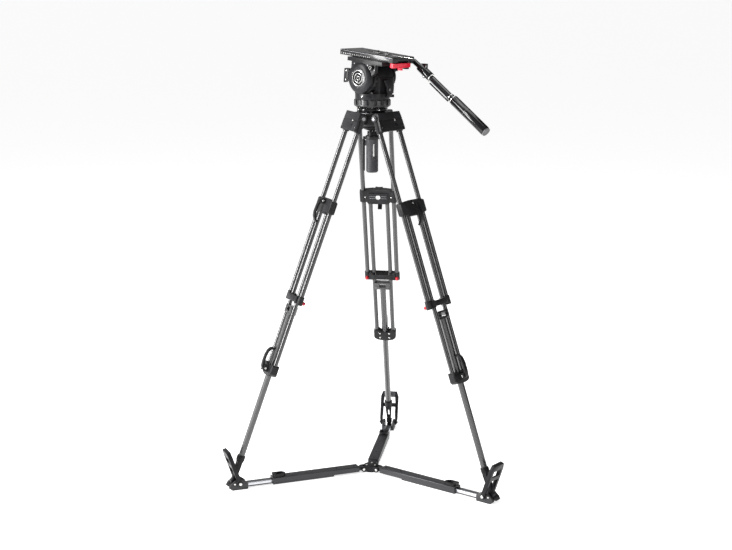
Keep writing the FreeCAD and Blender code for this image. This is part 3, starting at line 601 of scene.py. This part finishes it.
head_black = cast_finish("head_black", (0.008, 0.008, 0.009), (0.019, 0.019, 0.021), 0.34)
refine("head_body", head_black, 1.4, segments=3)
refine("tilt_brake_lever", nylon, 2.2, segments=3)
refine("tilt_drag_ring", nylon, 0.8)
for k, turn in enumerate((-62.5, -72.0)):
    face = Matrix.Rotation(math.radians(turn), 4, "Z")
    lug_at = HEAD @ face @ aim((58.4, 0, 1328.8), (1, 0, 0)) @ Matrix.Rotation(math.radians(90), 4, "Z")
    strip("band_lug_%d" % k, (7.0, 17.0, 3.0), (0, 0, 0), head_black, "head", lug_at, 0.6)
screw("band_bolt", 2.6, 1.6, bright_steel, "head", HEAD @ Matrix.Rotation(math.radians(-84.0), 4, "Z")
      @ aim((58.5, 0, 1329), (1, 0, 0)))
screw("crescent_pivot", 4.6, 1.4, dark_steel, "tilt_brake", HEAD @ aim((66.4, 14, 1352), (1, 0, 0)))


def pips(name, count, radius, size, height, step, material, body, matrix):
    """A row of small raised marks on a circle, one block copied round the dial."""
    marks = begin(name, bpy.ops.mesh.primitive_cube_add, size=1.0, location=(radius * MM, 0, height * MM / 2),
                  scale=(size[0] * MM, size[1] * MM, height * MM))
    pick(marks, lambda c, n: n.z > 0.9)
    bpy.ops.mesh.inset(thickness=0.12 * MM)
    bpy.ops.transform.translate(value=(0, 0, 0.08 * MM))
    bpy.ops.mesh.select_all(action="SELECT")
    for _ in range(count - 1):
        bpy.ops.mesh.duplicate_move()
        bpy.ops.transform.rotate(value=math.radians(step), orient_axis="Z", orient_type="GLOBAL",
                                 center_override=(0, 0, 0))
    return finish_piece(marks, material, body, matrix)


pips("drag_scale", 8, 46.0, (5.0, 1.6), 0.4, 16.0, white_ink.material, "tilt_drag",
     HEAD @ aim((0, -46.2, 1391), (0, -1, 0)) @ Matrix.Rotation(math.radians(-60.0), 4, "Z"))

# ------------------------------------------------------------------ tilting cradle
# One casting holds the camera deck, two cheeks and the round drum cover on the near side.
# A bright ring frames the cover's glossy dial, and a small diamond-marked knob sets the spring.

PITCH = Matrix.Rotation(math.radians(5.1), 4, "Y")
CRADLE = HEAD @ Matrix.Translation(Vector((0, 0, 1391)) * MM) @ PITCH
refine("tilt_cradle", head_black, 1.3, segments=3)
refine("counterbalance_knob", nylon, 0.8)


def dial_ring(name, outer, inner, height, material, matrix, body="cradle", sides=96):
    """A turned ring with a flattened section, or a four-sided one when it has four sides."""
    ring = begin(name, bpy.ops.mesh.primitive_torus_add, major_segments=sides, minor_segments=8,
                 major_radius=(outer + inner) / 2 * MM, minor_radius=(outer - inner) / 2 * MM)
    pick(ring, lambda c, n: True)
    bpy.ops.transform.resize(value=(1, 1, height / (outer - inner)), center_override=(0, 0, 0))
    bpy.ops.transform.translate(value=(0, 0, height * 0.4 * MM))
    return finish_piece(ring, material, body, matrix, edge=0.0)


dial_at = CRADLE @ aim((0, -68.2, 0), (0, -1, 0))
dial = begin("dial_plate", bpy.ops.mesh.primitive_cylinder_add, vertices=96, radius=29.4 * MM, depth=0.9 * MM,
             location=(0, 0, 0.4 * MM))
pick(dial, lambda c, n: n.z > 0.9)
bpy.ops.mesh.inset(thickness=1.0 * MM)
bpy.ops.transform.translate(value=(0, 0, 0.25 * MM))
finish_piece(dial, gloss_black, "cradle", dial_at)
dial_ring("dial_edge", 30.4, 29.2, 1.2, dark_steel, dial_at)
dial_ring("dial_rim", 26.4, 24.6, 1.8, bright_steel, dial_at @ Matrix.Translation((0, 0, 0.9 * MM)))
dial_ring("dial_middle", 17.0, 15.4, 1.6, bright_steel, dial_at @ Matrix.Translation((0, 0, 0.9 * MM)))
dial_ring("dial_hub", 7.0, 5.4, 1.6, bright_steel, dial_at @ Matrix.Translation((0, 0, 0.9 * MM)))
knob_at = CRADLE @ aim((50, -68.9, 41), (0, -1, 0))
dial_ring("knob_diamond", 6.6, 5.5, 0.6, white_ink.material, knob_at, "counterbalance", sides=4)
for k, (u, h) in enumerate(((-30, 44), (30, 46), (62, 34), (-36, 30))):
    screw("cheek_screw_%d" % k, 3.0, 1.2, dark_steel, "cradle", CRADLE @ aim((u, -60.0, h), (0, -1, 0)))
for k, (u, h) in enumerate(((-66.5, 16), (-66.5, -14))):
    screw("pod_screw_%d" % k, 2.4, 1.0, bright_steel, "cradle", CRADLE @ aim((u, -60.0, h), (0, -1, 0)))

# ------------------------------------------------------------------ camera plate
# A long black anodised plate slides in the dovetail and carries two camera screws in a slot.
# A pale scale is printed along its side, and the crimson lever behind it releases the plate.

plate_black = gloss_finish("plate_black", (0.012, 0.012, 0.013), (0.026, 0.026, 0.028), 0.24)
refine("camera_plate", plate_black, 0.6)
scale_marks = begin("plate_scale", bpy.ops.mesh.primitive_cube_add, size=1.0,
                    location=(-112 * MM, -40.1 * MM, 70 * MM), scale=(1.7 * MM, 0.3 * MM, 3.4 * MM))
pick(scale_marks, lambda c, n: n.y < -0.9)
bpy.ops.mesh.inset(thickness=0.2 * MM)
bpy.ops.mesh.select_all(action="SELECT")
for _ in range(15):
    bpy.ops.mesh.duplicate_move(TRANSFORM_OT_translate={"value": (8.6 * MM, 0, 0)})
finish_piece(scale_marks, white_ink.material, "plate", CRADLE)
side_line = begin("plate_edge_line", bpy.ops.mesh.primitive_cube_add, size=1.0,
                  location=(1.7 * MM, -40.05 * MM, 79.6 * MM), scale=(238 * MM, 0.3 * MM, 0.9 * MM))
pick(side_line, lambda c, n: n.y < -0.9)
bpy.ops.mesh.inset(thickness=0.2 * MM)
finish_piece(side_line, dark_steel, "plate", CRADLE)
for k, u in enumerate((5.0, 45.0)):
    dial_ring("stud_washer_%d" % k, 8.6, 5.6, 1.0, bright_steel,
              CRADLE @ aim((u, 13, 82.9), (0, 0, 1)), "plate")
for k, (u, v) in enumerate(((-108, -30), (-108, 55), (108, -30), (108, 55))):
    screw("plate_screw_%d" % k, 3.2, 1.0, dark_steel, "plate", CRADLE @ aim((u, v, 82.3), (0, 0, 1)))
strip("plate_end_strip", (3.4, 92, 0.8), (0, 0, 0), bright_steel, "plate",
      CRADLE @ aim((117.6, 12.5, 82.7), (0, 0, 1)) @ Matrix.Rotation(math.radians(90), 4, "Z"), 0.2)
red_gloss = Finish("crimson_moulding", coat_weight=0.5, coat_roughness=0.12)
tone = red_gloss.noise(0.008, 4.0)
rubbed = red_gloss.ramp(red_gloss.noise(0.003, 5.0, 0.7), 0.62, 0.8)
crimson = red_gloss.blend(tone, (0.60, 0.004, 0.022), (0.86, 0.010, 0.042))
red_gloss.feed(base_color=red_gloss.blend(rubbed * 0.25, crimson, (0.9, 0.2, 0.25)),
               roughness=0.28 + tone * 0.15)
red_gloss.bump(tone, 0.00004, 0.3)
refine("plate_release_lever", red_gloss.material, 2.4, segments=3)
screw("release_pivot", 3.8, 1.2, bright_steel, "plate_release", CRADLE @ aim((106, 46, 40.6), (0, 0, -1)))

# ------------------------------------------------------------------ pan bar
# A cranked steel arm, clamped to the cradle, holds the lacquered telescopic bar in its sleeve.
# Bright rings close the sleeve and the collars, and a long soft grip ends in a pale cap.

SLOPE = math.radians(34.3)
BAR = HEAD @ aim((142, 81, 1428.2), (math.cos(SLOPE), 0, -math.sin(SLOPE)))
bar_black = gloss_finish("bar_black", (0.003, 0.003, 0.004), (0.010, 0.010, 0.011), 0.13)
refine("pan_bar_arm", bar_black, 0.7)
refine("pan_bar_tube", bar_black, 0.5)


def bar_ring(name, radius, width, at, material, body):
    """A turned band round the bar, with both of its edges stepped down."""
    band = begin(name, bpy.ops.mesh.primitive_cylinder_add, vertices=64, radius=radius * MM, depth=width * MM,
                 location=(0, 0, at * MM))
    for sign in (1.0, -1.0):
        pick(band, lambda c, n: n.z * sign > 0.9)
        bpy.ops.mesh.inset(thickness=0.35 * MM)
        bpy.ops.transform.translate(value=(0, 0, sign * 0.2 * MM))
        bpy.ops.mesh.inset(thickness=radius * 0.4 * MM)
        bpy.ops.transform.translate(value=(0, 0, sign * -0.15 * MM))
    return finish_piece(band, material, body, BAR, edge=0.1, segments=1)


bar_ring("sleeve_ring", 14.8, 1.8, 61.2, bright_steel, "pan_bar_arm")
bar_ring("collar_ring", 12.9, 1.6, 165.0, bright_steel, "pan_bar_tube")
bar_ring("grip_ring", 16.0, 1.6, 179.0, bright_steel, "pan_bar_tube")
bar_ring("grip_seam", 16.75, 1.2, 246.0, dark_steel, "pan_bar_tube")
bar_ring("end_cap", 15.2, 3.0, 347.4, tread_grey.material, "pan_bar_tube")
for side in (-1.0, 1.0):
    screw("eye_bolt_" + "ab"[side > 0], 4.6, 1.4, bright_steel, "pan_bar_arm",
          HEAD @ aim((162, 81 + side * 4.0, 1399), (0, side, 0)))
screw("bar_pivot_cap", 9.0, 2.0, dark_steel, "pan_bar_arm", HEAD @ aim((34, 81.2, 1424), (0, 1, 0)))

# ------------------------------------------------------------------ studio
# A pale floor, a broad soft key from the left and a weaker fill from the right.

deselect()
bpy.ops.mesh.primitive_plane_add(size=240.0, location=(0, 0, 0))
floor = bpy.context.object
floor.name = "floor"
pale = Finish("pale_floor")
dust = pale.noise(0.6, 4.0)
pale.feed(base_color=pale.blend(dust, (0.90, 0.90, 0.90), (0.93, 0.93, 0.93)), roughness=0.7 + dust * 0.1)
pale.shader.inputs["Emission Color"].default_value = (1, 1, 1, 1)
pale.shader.inputs["Emission Strength"].default_value = 0.70
floor.data.materials.append(pale.material)

world = bpy.data.worlds.new("soft_room")
bpy.context.scene.world = world
world.use_nodes = True
sky = world.node_tree
background = sky.nodes["Background"]
coord = sky.nodes.new("ShaderNodeTexCoord")
parts = sky.nodes.new("ShaderNodeSeparateXYZ")
sky.links.new(coord.outputs["Generated"], parts.inputs[0])
shade = sky.nodes.new("ShaderNodeMapRange")
shade.inputs["From Min"].default_value = -0.9
shade.inputs["From Max"].default_value = 0.7
shade.inputs["To Min"].default_value = 0.55
shade.inputs["To Max"].default_value = 0.05
sky.links.new(parts.outputs[0], shade.inputs["Value"])
path = sky.nodes.new("ShaderNodeLightPath")
choose = sky.nodes.new("ShaderNodeMix")
sky.links.new(path.outputs["Is Camera Ray"], choose.inputs[0])
sky.links.new(shade.outputs[0], choose.inputs[2])
choose.inputs[3].default_value = 1.0
sky.links.new(choose.outputs[0], background.inputs["Strength"])
background.inputs["Color"].default_value = (1, 1, 1, 1)


def soft_light(name, at, towards, width, height, power):
    data = bpy.data.lights.new(name, "AREA")
    data.shape = "RECTANGLE"
    data.size = width
    data.size_y = height
    data.energy = power
    lamp = bpy.data.objects.new(name, data)
    bpy.context.scene.collection.objects.link(lamp)
    lamp.location = at
    lamp.rotation_euler = (Vector(towards) - Vector(at)).to_track_quat("-Z", "Y").to_euler()


soft_light("key", (-3.6, -1.8, 2.2), (0, 0, 0.8), 0.8, 3.4, 330)
soft_light("fill", (3.2, -3.0, 1.8), (0, 0, 0.8), 1.0, 2.4, 35)
soft_light("top", (0.2, 0.6, 4.2), (0, 0, 1.0), 2.2, 2.2, 60)

camera_data = bpy.data.cameras.new("camera")
camera_data.sensor_width = 36.0
camera_data.lens = 71.16
camera = bpy.data.objects.new("camera", camera_data)
bpy.context.scene.collection.objects.link(camera)
forward = Vector((-0.13799, 0.96935, -0.20327)).normalized()
right = forward.cross(Vector((0, 0, 1))).normalized()
up = right.cross(forward)
roll = Matrix.Rotation(-0.0024, 3, forward)
basis = roll @ Matrix((right, up, -forward)).transposed()
camera.matrix_world = Matrix.Translation((0.67187, -4.86264, 1.72924)) @ basis.to_4x4()
bpy.context.scene.camera = camera
bpy.context.scene.view_settings.view_transform = "Standard"
